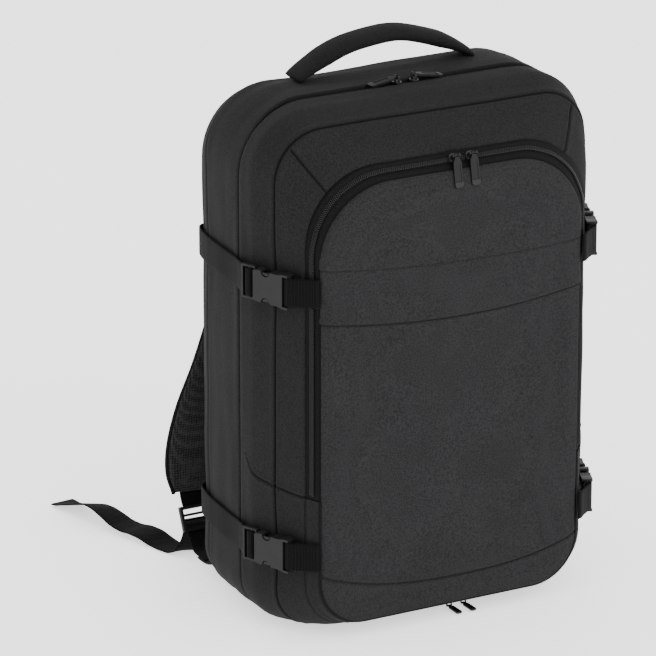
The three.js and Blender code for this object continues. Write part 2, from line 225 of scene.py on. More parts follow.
def mesh_material(name, low, high):
    """Open air mesh: a honeycomb of small dark cells."""
    material, tree, shader = new_material(name, low, 0.9)
    coords = object_coordinates(tree)
    cells = node(tree, "ShaderNodeTexVoronoi", Scale=1 / (2.4 * MM), Randomness=0.25)
    tree.links.new(coords, cells.inputs["Vector"])
    tree.links.new(mix_colors(tree, cells.outputs["Distance"], low, high), shader.inputs["Base Color"])
    shader.inputs["Sheen Weight"].default_value = 0.02
    shader.inputs["Specular IOR Level"].default_value = 0.15
    bump(tree, shader, cells.outputs["Distance"], 0.5)
    return material


def plastic_material(name, low, high, roughness, relief_mm=0.03):
    """Moulded plastic with a fine spark-eroded grain."""
    material, tree, shader = new_material(name, low, roughness)
    shader.inputs["Specular IOR Level"].default_value = 0.2
    coords = object_coordinates(tree)
    grain = speckle(tree, coords, 0.7, 4.0)
    tree.links.new(mix_colors(tree, grain, low, high), shader.inputs["Base Color"])
    wear = math_node(tree, "MULTIPLY", speckle(tree, coords, 9), 0.16)
    tree.links.new(math_node(tree, "ADD", wear, roughness - 0.08), shader.inputs["Roughness"])
    bump(tree, shader, grain, relief_mm)
    return material


def metal_material(name):
    material, tree, shader = new_material(name, (0.012, 0.012, 0.0127), 0.34, 0.6)
    scratches = speckle(tree, object_coordinates(tree), 1.1, 5.0)
    color = mix_colors(tree, scratches, (0.007, 0.007, 0.0075), (0.019, 0.019, 0.0198))
    tree.links.new(color, shader.inputs["Base Color"])
    bump(tree, shader, scratches, 0.02)
    return material


FABRIC = weave_material("charcoal_weave", (0.0078, 0.0075, 0.0079), (0.0158, 0.0152, 0.016))
PANEL = weave_material("charcoal_weave_front", (0.0095, 0.0091, 0.0096), (0.0205, 0.0197, 0.0206))
LINING = weave_material("grey_lining", (0.03, 0.03, 0.032), (0.05, 0.05, 0.053), 0.6, 0.05)
TAPE = weave_material("zip_tape", (0.004, 0.004, 0.0042), (0.0075, 0.0074, 0.0077), 0.7, 0.08)
WEBBING = webbing_material("black_webbing", (0.0018, 0.0016, 0.0016), (0.0048, 0.0043, 0.0044))
AIR_MESH = mesh_material("air_mesh", (0.004, 0.004, 0.004), (0.022, 0.022, 0.023))
COIL = plastic_material("zip_coil", (0.009, 0.009, 0.0092), (0.017, 0.017, 0.0174), 0.4)
BUCKLE = plastic_material("buckle_acetal", (0.005, 0.0049, 0.0051), (0.0078, 0.0077, 0.008), 0.5)
PULL = plastic_material("pull_plastic", (0.0022, 0.0022, 0.0023), (0.0042, 0.0042, 0.0043), 0.42)
METAL = metal_material("black_die_cast")
HANDLE = weave_material("handle_weave", (0.0055, 0.0054, 0.0056), (0.0105, 0.0102, 0.0106), 1.1, 0.14)
BOARD = plastic_material("stiffener_board", (0.04, 0.04, 0.04), (0.06, 0.06, 0.06), 0.6)

# ---- Mesh helpers ----


def make_object(name, points, faces, material, body=BAG, seam=None, flat=False):
    """points in millimetres; faces as lists of vertex numbers."""
    mesh = bpy.data.meshes.new(name)
    mesh.from_pydata((np.asarray(points, float) * MM).tolist(), [], faces)
    mesh.materials.append(material)
    # the seam attribute holds how much painted shade each point gets down in a seam's groove
    if seam is not None:
        attribute = mesh.attributes.new("seam", "FLOAT", "POINT")
        attribute.data.foreach_set("value", np.clip(np.ravel(seam), 0, 1).astype(np.float32))
    mesh.polygons.foreach_set("use_smooth", [not flat] * len(mesh.polygons))
    mesh.validate()
    made = bpy.data.objects.new(name, mesh)
    bpy.context.scene.collection.objects.link(made)
    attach(made, body)
    return made


def face_outward(made, open_surface=False):
    """Turns every face outwards. An open surface is turned away from the bag's middle."""
    shape = bmesh.new()
    shape.from_mesh(made.data)
    bmesh.ops.recalc_face_normals(shape, faces=shape.faces)
    if open_surface:
        middle = Vector((0, 0, 0.23))
        facing = sum(f.calc_area() * f.normal.dot(f.calc_center_median() - middle) for f in shape.faces)
        if facing < 0:
            bmesh.ops.reverse_faces(shape, faces=shape.faces)
    shape.to_mesh(made.data)
    shape.free()
    return made


def grid_faces(rows, columns, wrap=False):
    """Quads between neighbouring rows, joined round the end of each row if the grid wraps."""
    faces = []
    for r in range(rows - 1):
        here, there = r * columns, (r + 1) * columns
        for c in range(columns if wrap else columns - 1):
            right = (c + 1) % columns
            faces.append((here + c, here + right, there + right, there + c))
    return faces


def smooth_path(points, count):
    """Points evenly along a Catmull-Rom curve through the given ones."""
    p = np.asarray(points, float)
    p = np.vstack([2 * p[0] - p[1], p, 2 * p[-1] - p[-2]])
    fine = []
    for i in range(1, len(p) - 2):
        t = np.linspace(0, 1, 24, endpoint=False)[:, None]
        a, b, c, d = p[i - 1], p[i], p[i + 1], p[i + 2]
        square, cube = 2 * a - 5 * b + 4 * c - d, 3 * b - a - 3 * c + d
        fine.append(0.5 * (2 * b + (c - a) * t + square * t**2 + cube * t**3))
    fine = np.vstack(fine + [p[-2:-1]])
    along = np.r_[0, np.cumsum(np.linalg.norm(np.diff(fine, axis=0), axis=1))]
    wanted = np.linspace(0, along[-1], count)
    return np.stack([np.interp(wanted, along, fine[:, k]) for k in range(fine.shape[1])], axis=1)


def unit(vectors):
    return vectors / np.maximum(np.linalg.norm(vectors, axis=-1, keepdims=True), 1e-9)


def sweep(name, path, across, sections, material, body=BAG):
    """Sweeps a closed section along a path. sections holds (width, thickness) points for each path point."""
    path = np.asarray(path, float)
    along = unit(np.gradient(path, axis=0))
    across = np.broadcast_to(np.asarray(across, float), path.shape)
    wide = unit(across - (across * along).sum(1, keepdims=True) * along)
    through = np.cross(wide, along)
    sections = np.broadcast_to(np.asarray(sections, float), (len(path), *np.shape(sections)[-2:]))
    points = path[:, None] + sections[..., :1] * wide[:, None] + sections[..., 1:] * through[:, None]
    rows, columns = points.shape[:2]
    faces = grid_faces(rows, columns, wrap=True)
    faces.append(tuple(range(columns)))
    faces.append(tuple(range((rows - 1) * columns, rows * columns)))
    made = make_object(name, points.reshape(-1, 3), faces, material, body)
    return face_outward(made)


def soft_section(width, thick, power=2.6, count=28):
    """A rounded, slightly boxy section: a superellipse."""
    angle = np.linspace(0, 2 * math.pi, count, endpoint=False)
    c, s = np.cos(angle), np.sin(angle)
    across = width / 2 * np.sign(c) * np.abs(c) ** (2 / power)
    through = thick / 2 * np.sign(s) * np.abs(s) ** (2 / power)
    return np.stack([across, through], axis=1)


def web_section(width=WEB, thick=1.5):
    """Flat webbing with thin woven edges."""
    half = width / 2
    across = np.array([-half, -half + 0.5, -half + 2, -half / 2, 0, half / 2, half - 2, half - 0.5, half])
    height = np.array([0.25, 0.8, 1, 1, 1, 1, 1, 0.8, 0.25]) * thick / 2
    return np.vstack([np.stack([across, height], 1), np.stack([across[::-1], -height[::-1]], 1)])


def noise_at(points, size_mm, seed):
    """Smooth noise, about -1 to 1, at each point."""
    offset = Vector((seed * 17.3, seed * 5.1, seed * 9.7))
    flat = np.asarray(points, float).reshape(-1, 3) / size_mm
    values = [noise.noise(Vector(p) + offset) for p in flat.tolist()]
    return np.array(values).reshape(np.shape(points)[:-1])


def groove(distance, width, depth):
    """A seam's valley: narrow and deep at zero distance, with a soft swell on each side."""
    valley = -depth * np.exp(-((distance / width) ** 2))
    swell = 0.35 * depth * np.exp(-((np.abs(distance) - 3.2 * width) / (2 * width)) ** 2)
    return valley + swell


# How strongly a seam's groove is painted with shade, by distance from the seam's middle.
def seam_shade(distance, width):
    return 0.85 * np.exp(-((distance / width) ** 2))


# ---- The bag's cross-sections ----

# y, half width, bottom, top, top corner radius, bottom corner radius
STATIONS = np.array(
    [
        [86, 141, 11, 433, 50, 34],
        [78, 149.5, 4, 446, 54, 36],
        [58, 154.5, 1.8, 455, 58, 38],
        [35, 156.5, 1.8, 458.5, 62, 40],
        [10, 157.5, 1.8, 459, 64, 40],
        [-1, 158, 1.8, 459, 62, 40],
        [-11, 158, 1.8, 458, 60, 40],
        [-28, 156.5, 1.8, 456, 52, 40],
        [-52, 148, 5, 446, 42, 38],
        [-77, 134.5, 11, 419, 66, 44],
        [-89, 125, 14, 404, 66, 44],
    ],
    float,
)
FINE_Y = np.arange(-92, 90, 0.5)
_order = STATIONS[::-1]
_kernel = np.hanning(19) / np.hanning(19).sum()


def _smoothed(column):
    values = np.interp(FINE_Y, _order[:, 0], _order[:, column])
    padded = np.pad(values, 9, mode="edge")
    return np.convolve(padded, _kernel, mode="valid")


PROFILE = [_smoothed(k) for k in range(1, 6)]


def section_at(y):
    return [np.interp(y, FINE_Y, values) for values in PROFILE]


CORNER = np.radians(np.r_[np.linspace(0, 37, 7), np.linspace(40, 52, 15), np.linspace(55, 90, 7)])
SIDE = np.unique(np.r_[np.linspace(0, 1, 44), np.linspace(0.22, 0.34, 40)])[1:-1]
ACROSS = np.linspace(0, 1, 50)[1:-1]


def ring(y, inset=0.0):
    """The bag's outline at a depth: x, z for points counter-clockwise from the bottom right corner."""
    w, z0, z1, rt, rb = section_at(y)
    corners = [
        (w - rb, z0 + rb, rb, -90),
        (w - rt, z1 - rt, rt, 0),
        (rt - w, z1 - rt, rt, 90),
        (rb - w, z0 + rb, rb, 180),
    ]
    arcs = []
    for x, z, r, start in corners:
        angle = CORNER if start in (0, 180) else np.pi / 2 - CORNER[::-1]
        angle = angle + math.radians(start)
        arcs.append(np.stack([x + (r - inset) * np.cos(angle), z + (r - inset) * np.sin(angle)], 1))
    runs = []
    for k, fractions in enumerate((SIDE, ACROSS, 1 - SIDE[::-1], ACROSS)):
        a, b = arcs[k][-1], arcs[(k + 1) % 4][0]
        runs.append(a + (b - a) * fractions[:, None])
    return np.vstack([part for pair in zip(arcs, runs) for part in pair])


def skin(rows):
    """A grid of points from (depth, inset) rows."""
    grid = []
    for y, inset in rows:
        xz = ring(y, inset)
        grid.append(np.stack([xz[:, 0], np.full(len(xz), float(y)), xz[:, 1]], 1))
    return np.array(grid)


def outward_normals(grid):
    du = np.roll(grid, -1, axis=1) - np.roll(grid, 1, axis=1)
    dv = np.gradient(grid, axis=0)
    normal = unit(np.cross(du, dv))
    away = grid - np.array([0, 0, 230.0])
    sign = np.sign((normal * away * np.array([1, 0, 1])).sum(-1, keepdims=True).sum(1, keepdims=True))
    return normal * np.where(sign == 0, 1, sign)


def strap_pull(grid):
    """How far the compression straps pull the fabric in."""
    pull = np.zeros(grid.shape[:2])
    for z in STRAPS.values():
        near = np.exp(-(((grid[..., 2] - z) / 26) ** 2))
        front = 1 / (1 + np.exp((grid[..., 1] + 40) / 8))
        pull += near * (0.8 + 1.7 * front) * (np.abs(grid[..., 0]) > 110)
    return pull


def add_skin(name, grid, lift, material, seam, *nodes):
    normal = outward_normals(grid)
    points = grid + normal * lift[..., None]
    rows, columns = grid.shape[:2]
    faces = grid_faces(rows, columns, True)
    made = make_object(name, points.reshape(-1, 3), faces, material, seam=seam)
    face_outward(made, open_surface=True)
    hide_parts(*nodes)
    return made


def ring_distance(grid):
    """Distance round the outline, from the bottom right corner's start, in each row."""
    step = np.linalg.norm(np.diff(grid, axis=1), axis=2)
    return np.concatenate([np.zeros((len(grid), 1)), np.cumsum(step, axis=1)], axis=1)


def wrinkles(grid, seed, height):
    """Soft creases that run mostly along the outline, and broad unevenness."""
    stretched = grid * np.array([0.5, 1.7, 0.5])
    return height * (0.55 * noise_at(stretched, 26, seed) + 0.8 * noise_at(grid, 75, seed + 3))


OPEN_TOP = 118  # half length of the main zip's open stretch across the top


def lip_reach(xz_x, z):
    """How far each flap reaches over the main zip: almost closed, but open on top for the sliders."""
    along_top = (z > 400) * np.clip(1.25 - np.abs(xz_x) / OPEN_TOP, 0, 1)
    return 5.0 - 4.1 * np.clip(along_top * 3, 0, 1)


def rear_gusset():
    depths = np.r_[84.5, 82:66:-2, 66:54:-1.0, 54:3:-3.0, 2.5, 1.0, 0.0]
    rows = [(86.9, 12), (86.9, 6), (86.8, 3), (86, 0.9)] + [(y, 0) for y in depths]
    body = skin(rows)
    edge = body[-1]
    reach = lip_reach(edge[:, 0], edge[:, 2])
    lip = []
    for share, inset in ((0.35, 0.0), (0.75, 0.25), (0.95, 0.9), (1.0, 2.0), (0.9, 3.6), (0.55, 4.2)):
        row = skin([(-1.0, inset)])[0]
        row[:, 1] = 0.2 - reach * share - 0.6
        lip.append(row)
    grid = np.concatenate([body, np.array(lip)])
    y = grid[..., 1]
    crease = 60 + 2.5 * np.sin(grid[..., 2] / 70)
    lift = groove(y - crease, 1.6, 1.0)
    lift = lift + wrinkles(grid, 2, 1.5) * np.clip((84 - y) / 10, 0, 1) * np.clip((y + 1) / 8, 0, 1)
    lift = lift + 0.5 * np.exp(-(((y - 28) / 20) ** 2))
    lift = lift - strap_pull(grid) * np.clip((y + 2) / 6, 0, 1)
    lift = np.where(grid[..., 2] < 6, np.minimum(lift, 0.2), lift)
    # painted shade along the crease seam's groove
    seam = seam_shade(y - crease, 1.1) * 0.6
    add_skin("rear_gusset", grid, lift, FABRIC, seam, "rear_shell")


def cross_seam_height(y):
    """The height of the seam round the lower sides, which rises in a curve towards the main zip."""
    curve = 20 * np.clip((y + 36) / 22, 0, 1) ** 2
    return 137 + 0.16 * (y + 52) + curve


def front_gusset():
    behind_seam = np.r_[-12.5, -14, -16:-46:-2.0, -46:-49.5:-1.0]
    depths = np.r_[behind_seam, -49.6:-54.6:-0.45, -55:-73:-1.8, -74, -75.4, -76.4]
    body = skin([(y, 0) for y in depths] + [(-77.1, 0.5), (-77.3, 1.3), (-77.2, 3.2)])
    edge = body[0]
    reach = lip_reach(edge[:, 0], edge[:, 2])
    lip = []
    for share, inset in ((0.55, 4.2), (0.9, 3.6), (1.0, 2.0), (0.95, 0.9), (0.75, 0.25), (0.35, 0.0)):
        row = skin([(-11.0, inset)])[0]
        row[:, 1] = -12.2 + reach * share + 0.6
        lip.append(row)
    grid = np.concatenate([np.array(lip), body])
    y, z = grid[..., 1], grid[..., 2]
    on_side = np.abs(grid[..., 0]) > 120
    across = z - cross_seam_height(y)
    side_seam = on_side & (y < -16)
    around = ring_distance(grid)
    lift = groove(y + 52, 0.9, 1.7)
    lift = lift + np.where(side_seam, groove(across, 0.9, 1.3), 0)
    # painted shade down in the bevel, side and mitre seam grooves
    seam = seam_shade(y + 52, 0.8) + np.where(side_seam, seam_shade(across, 0.8), 0)
    for place in mitre_places():
        distance = around - around[:, place : place + 1]
        on_bevel = np.clip((-53 - y) / 1.5, 0, 1)
        lift = lift + groove(distance, 0.9, 1.2) * on_bevel
        seam = seam + seam_shade(distance, 0.8) * on_bevel
    puff_rear = 0.6 * np.exp(-(((y + 31) / 12) ** 2))
    puff_bevel = 0.6 * np.exp(-(((y + 65) / 8) ** 2))
    lift = lift + puff_rear + puff_bevel
    lift = lift + wrinkles(grid, 5, 1.3) * np.clip((-13 - y) / 8, 0, 1) * np.clip((y + 76) / 6, 0, 1)
    lift = lift - strap_pull(grid) * np.clip((-11 - y) / 6, 0, 1) * np.clip((y + 77) / 4, 0.3, 1)
    lift = np.where(z < 7, np.minimum(lift, 0.2), lift)
    add_skin("front_gusset", grid, lift, FABRIC, seam, "front_shell")


def mitre_places():
    """Ring numbers of the two upper corners' middles, where the bevel's panels meet."""
    per_corner, side, across = len(CORNER), len(SIDE), len(ACROSS)
    middle = int(np.argmin(np.abs(CORNER - math.radians(46))))
    first = per_corner + side + middle
    second = 2 * per_corner + side + across + (per_corner - 1 - middle)
    return first, second


def zip_path(y, inset, foot):
    """The open line of a zip, up one side, over the top and down the other, with its outward normals."""
    xz = ring(y, inset)
    keep = xz[:, 1] > foot
    start = int(np.argmax(keep))
    line = xz[start : start + int(keep.sum())] if keep[start:].sum() == keep.sum() else xz[keep]
    points = np.stack([line[:, 0], np.full(len(line), float(y)), line[:, 1]], 1)
    bottom_right = np.array([points[0][0], y, foot])
    bottom_left = np.array([points[-1][0], y, foot])
    points = smooth_path(np.vstack([bottom_right, points[::3], points[-1], bottom_left]), 420)
    tangent = unit(np.gradient(points, axis=0))
    outward = np.cross(tangent, np.array([0, 1.0, 0]))
    away = points * np.array([1, 0, 1]) - np.array([0, 0, 230.0])
    outward *= np.sign((outward * away).sum(1, keepdims=True))
    return points, outward


def zip_teeth(name, path, outward, lean, body=BAG):
    """A coil zip: two interlocking rows of small loops on the tape."""
    along = np.r_[0, np.cumsum(np.linalg.norm(np.diff(path, axis=0), axis=1))]
    pitch = 1.7
    count = int(along[-1] / pitch)
    tangent = unit(np.gradient(path, axis=0))
    points, faces = [], []
    tooth = [(-0.5, -0.5, 0), (0.5, -0.5, 0), (0.5, 0.5, 0), (-0.5, 0.5, 0)]
    tooth += [(-0.3, -0.36, 1), (0.3, -0.36, 1), (0.3, 0.36, 1), (-0.3, 0.36, 1)]
    quads = [(4, 5, 6, 7), (0, 1, 5, 4), (1, 2, 6, 5), (2, 3, 7, 6), (3, 0, 4, 7), (3, 2, 1, 0)]
    for k in range(count):
        for row in (-1, 1):
            s = (k + 0.25 * row + 0.5) * pitch
            at = np.array([np.interp(s, along, path[:, i]) for i in range(3)])
            ahead = unit(np.array([np.interp(s, along, tangent[:, i]) for i in range(3)]))
            up = np.array([np.interp(s, along, outward[:, i]) for i in range(3)])
            up = unit(unit(up) + np.array([0, lean, 0]))
            side = unit(np.cross(up, ahead))
            base = len(points)
            for a, b, c in tooth:
                points.append(at + ahead * a * 1.15 + side * (b * 2.3 + row * 0.95) + up * c * 1.15)
            faces += [tuple(base + i for i in quad) for quad in quads]
    made = make_object(name, points, faces, COIL, body, flat=True)
    return face_outward(made)


def zip_tapes():
    rows = [(-77.6, 2.6), (-77.8, 1.5), (-79.5, 1.2), (-81.2, 1.1), (-81.6, 1.5)]
    rows += [(-84.4, 1.5), (-84.8, 1.1), (-86.5, 1.1), (-88.4, 1.2), (-88.7, 2.4)]
    pocket = skin(rows)
    y = pocket[..., 1]
    shade = seam_shade(y + 78.2, 0.6) + seam_shade(y + 88.2, 0.6)
    is_tape = pocket[0, :, 2] > POCKET_TAPE_FOOT
    for name, keep, material, slot, cad in (
        ("pocket_tape", is_tape, TAPE, "zip_tape", "pocket_zip_tape"),
        ("lower_bevel_band", ~is_tape, FABRIC, "shell_fabric", "lower_front_gusset"),
    ):
        lift = np.zeros(y.shape) if name == "pocket_tape" else np.full(y.shape, 0.9)
        normal = outward_normals(pocket)
        points = pocket + normal * lift[..., None]
        rows, columns = y.shape
        grown = keep | np.roll(keep, 1) | np.roll(keep, -1) if name == "lower_bevel_band" else keep
        faces = grid_faces(rows, columns, True)
        faces = [f for f in faces if grown[f[0] % columns] and grown[f[1] % columns]]
        made = make_object(name, points.reshape(-1, 3), faces, material, seam=shade)
        remove_loose(made)
        face_outward(made, open_surface=True)
        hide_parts(cad)
    path, outward = zip_path(-83, 0.4, POCKET_COIL_FOOT)
    zip_teeth("pocket_zip_coil", path, outward, -0.6)

    main = skin([(-0.6, 3.2), (-3, 3.4), (-4.6, 3.5), (-7.4, 3.5), (-9, 3.4), (-11.4, 3.2)])
    faces = grid_faces(*main.shape[:2], True)
    made = make_object("main_tape", main.reshape(-1, 3), faces, TAPE)
    face_outward(made, open_surface=True)
    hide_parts("main_zip_tape", "bottom_hinge_gusset")
    path, outward = zip_path(-6, 3.6, MAIN_COIL_FOOT)
    zip_teeth("main_zip_coil", path, outward, 0)


def remove_loose(made):
    shape = bmesh.new()
    shape.from_mesh(made.data)
    loose = [v for v in shape.verts if not v.link_faces]
    bmesh.ops.delete(shape, geom=loose, context="VERTS")
    shape.to_mesh(made.data)
    shape.free()


# ---- Panels: the front pocket's face, the padded back and the base ----


def rounded_distance(x, z, w, z0, z1, rt, rb):
    """Distance in from the edge of a rounded rectangle."""
    r = np.where(z > (z0 + z1) / 2, rt, rb)
    qx = np.abs(x) - (w - r)
    qz = np.where(z > (z0 + z1) / 2, z - (z1 - r), (z0 + r) - z)
    outside = np.hypot(np.maximum(qx, 0), np.maximum(qz, 0)) + np.minimum(np.maximum(qx, qz), 0)
    return np.maximum(r - outside, 0)


def panel_grid(w, z0, z1, rt, rb, bands=(), columns=61, centre=0.0):
    """x, z and the distance from the edge, on a grid whose rows are closer together in the given bands."""
    bend = np.radians(np.linspace(0, 90, 14))
    heights = [z1 - rt + rt * np.sin(bend), z0 + rb - rb * np.sin(bend), np.linspace(z0 + rb, z1 - rt, 56)]
    heights += [np.arange(low, high, 0.9) for low, high in bands]
    z = np.unique(np.round(np.concatenate(heights), 3))
    half = np.full(len(z), float(w))
    top, low = z > z1 - rt, z < z0 + rb
    half[top] = w - rt + np.sqrt(np.maximum(rt**2 - (z[top] - (z1 - rt)) ** 2, 0))
    half[low] = w - rb + np.sqrt(np.maximum(rb**2 - ((z0 + rb) - z[low]) ** 2, 0))
    u = np.sin(np.linspace(-1, 1, columns) * math.pi / 2 * 0.98) / math.sin(math.pi / 2 * 0.98)
    u = 0.5 * u + 0.5 * np.linspace(-1, 1, columns)
    x = half[:, None] * u[None]
    zz = np.repeat(z[:, None], columns, 1)
    return x + centre, zz, rounded_distance(x, zz, w, z0, z1, rt, rb)


def add_panel(name, x, y, z, material, skirt, seam=None):
    """A panel from its grid, with its edge turned back by the skirt (millimetres along Y)."""
    points = np.stack([x, y, z], -1)
    rows, columns = x.shape
    made = make_object(name, points.reshape(-1, 3), grid_faces(rows, columns), material, seam=seam)
    shape = bmesh.new()
    shape.from_mesh(made.data)
    rim = [e for e in shape.edges if e.is_boundary]
    out = bmesh.ops.extrude_edge_only(shape, edges=rim)
    for v in (g for g in out["geom"] if isinstance(g, bmesh.types.BMVert)):
        v.co.y += skirt * MM
    bmesh.ops.recalc_face_normals(shape, faces=shape.faces)
    towards = sum(f.calc_area() * f.normal.y for f in shape.faces)
    if towards * skirt > 0:
        bmesh.ops.reverse_faces(shape, faces=shape.faces)
    for f in shape.faces:
        f.smooth = True
    shape.to_mesh(made.data)
    shape.free()
    return made


def front_panel():
    w, z0, z1, rt, rb = 125, 14, 404, 66, 44
    x, z, inside = panel_grid(w, z0, z1, rt, rb, [(36, 70), (270, 296), (319, 340)])
    side = x / w
    upper = 325.5 - 5 * side + 5 * side**2
    pocket = 277 - 2 * side + 10 * side**2
    lower = 41 - 2.5 * side + 19.5 * np.abs(side) ** 2.4
    crown = 4.6 * (1 - np.exp(-inside / 26)) + 1.0 * np.exp(-(((inside - 12) / 8) ** 2))
    y = -(89.0 + crown)
    roll = np.clip(1 - inside / 2.4, 0, 1)
    y = y + 2.0 * (1 - np.sqrt(1 - roll**2))
    height = groove(z - upper, 0.8, 0.45) + groove(z - lower, 0.9, 1.1)
    height += 1.1 / (1 + np.exp(-(z - pocket) / 0.45)) + groove(z - pocket + 0.6, 0.8, 0.6)
    height += groove(inside - 5.5, 0.7, 0.15)
    spread = np.clip(inside / 14, 0, 1)
    place = np.stack([x, y * 0, z], -1)
    broad = noise_at(place * np.array([0.7, 1, 1.3]), 60, 8)
    height += spread * (0.9 * broad + 0.35 * noise_at(place, 22, 9))
    height -= 1.2 * np.exp(-(((z - 81) / 20) ** 2)) * np.clip(1 - inside / 50, 0, 1)
    height -= 1.2 * np.exp(-(((z - 316) / 20) ** 2)) * np.clip(1 - inside / 50, 0, 1)
    shade = 0.45 * seam_shade(z - upper, 0.6) + seam_shade(z - pocket + 0.5, 0.75)
    shade += 0.8 * seam_shade(z - lower, 0.75)
    made = add_panel("front_pocket_face", x, y - height, z, PANEL, 4.5, seam=shade)
    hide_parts("front_panel")


def back_padding():
    w, z0, z1, rt, rb = 134, 14.5, 426.5, 42, 27
    x, z, inside = panel_grid(w, z0, z1, rt, rb)
    y = 87.2 + 4.2 * (1 - np.exp(-inside / 9))
    y = y - 1.2 * np.clip(1 - inside / 3, 0, 1)
    base = add_panel("back_panel_mesh", x, y, z, AIR_MESH, -2.5)
    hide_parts("back_panel")
    pads = [
        ("back_pad_right", 61, 47, 150, 400),
        ("back_pad_left", -61, 47, 150, 400),
        ("lumbar_pad", 0, 108, 46, 138),
    ]
    for name, centre, half, low, high in pads:
        x, z, inside = panel_grid(half, low, high, 22, 22, columns=33, centre=centre)
        lift = 7.6 * np.clip(1 - (1 - np.clip(inside / 13, 0, 1)) ** 2.2, 0, 1) ** 0.75
        rows = high - low
        for k in range(1, 4):
            channel = low + rows * k / 4
            if name != "lumbar_pad":
                lift -= 3.4 * np.exp(-(((z - channel) / 2.6) ** 2)) * np.clip(inside / 5, 0, 1)
        made = add_panel(name + "_cushion", x, 92.2 + lift, z, AIR_MESH, -1.5)
        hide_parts(name)
    edge = closed_ring(86.4, 1.6)
    sweep("back_piping", edge, [0, 1, 0], soft_section(3.4, 3.4, 2, 10), WEBBING)


def closed_ring(y, inset):
    xz = ring(y, inset)
    points = np.stack([xz[:, 0], np.full(len(xz), float(y)), xz[:, 1]], 1)
    points = np.vstack([points[::2], points[:1]])
    return points


def base():
    x, y, inside = panel_grid(112, -50, 68, 14, 14, columns=41)
    z = 0.15 + 1.4 * np.exp(-inside / 1.2)
    rows, columns = x.shape
    points = np.stack([x, y, z], -1).reshape(-1, 3)
    made = make_object("base_cloth", points, grid_faces(rows, columns), FABRIC)
    face_outward(made, open_surface=True)
    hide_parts("base_panel")


# ---- Handle and shoulder straps ----


def carry_handle():
    t = np.linspace(-1, 1, 61)
    lift = np.cos(t * math.pi / 2)
    path = np.stack([83 * t, np.full(61, 38.0), 460.5 + 27.5 * lift**0.85], 1)
    path[:, 2] += 0.5 * np.sin(t * 9) * lift
    full = np.clip(2.0 * lift, 0, 1)
    sections = [soft_section(28 + 2 * f, 7 + 6.5 * f, 2.2, 36) for f in full]
    grip = sweep("carry_handle_grip", path, [0, 1, 0], sections, HANDLE)
    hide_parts("carry_handle")


STRAP_LINE = np.array(
    [
        [58, 107, 416, 62], [59, 109, 392, 66], [64, 110, 350, 68], [74, 112, 300, 68], [88, 116, 245, 68],
        [102, 124, 190, 68], [115, 135, 145, 66], [122, 144, 108, 62], [126, 147, 80, 54],
        [127.5, 144, 60, 42],
    ],
    float,
)  # fmt: skip
TAIL_LINE = [
    [128, 137.6, 36.4], [128.2, 138, 28], [129, 139.5, 19], [131, 142.5, 10.5], [134, 147, 4.2],
    [137.5, 154, 1.5], [141.5, 164, 1.7], [145.5, 175, 3.6], [149.5, 186, 6.4], [153.5, 198, 7],
    [157.5, 210, 6], [161, 222, 7], [164.5, 234, 10.5], [168, 246, 13.5], [171, 258, 13.5], [174, 270, 10],
    [176.5, 282, 6], [179, 294, 2.6], [181, 304, 1.4],
]  # fmt: skip


LOOP_LINE = [(128, 146, 64), (128.1, 144, 56), (128.1, 140.8, 50.2), (128, 137.4, 46.6)]
YOKE_LINE = [(58, 86.5, 420), (58, 94, 425), (58, 102, 425), (58, 107, 419), (58, 108, 412)]
LOWER_WEB_LINE = [
    (128, 131, 27.6), (128.5, 125, 22), (129.5, 117.5, 17), (130.5, 111, 15), (130.5, 100, 14.8),
    (130.5, 92, 14.6),
]  # fmt: skip
TAB_LINE = [(128, 80, 16.5), (129, 88, 13.6), (130, 97, 13.4), (130.5, 104, 14.2)]
ALONG_X = [1, 0, 0]


def place_line(line, sign, count):
    """A side's smooth path through a line that is given for the right side."""
    return smooth_path([[sign * x, y, z] for x, y, z in line], count)


def mirrored(points, sign):
    return np.asarray(points, float) * np.array([sign, 1, 1])


def webbing_tails():
    """The free ends of the shoulder webbing, lying on the floor behind the bag."""
    for side, sign in SIDES.items():
        path = smooth_path(mirrored(TAIL_LINE, sign), 110)
        share = np.linspace(0, 1, len(path))
        roll = np.radians(sign * (6 * np.sin(share * 11) + 16 * share**3))
        room = np.arcsin(np.clip((path[:, 2] - 1.0) / 13, 0, 0.35))
        roll = np.clip(roll, -room, room)
        across = np.stack([np.cos(roll), np.zeros(len(path)), np.sin(roll)], 1)
        tail = sweep(f"strap_tail_{side}", path, across, web_section(WEB, 1.5), WEBBING)
        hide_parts(f"webbing_tail_{side}")


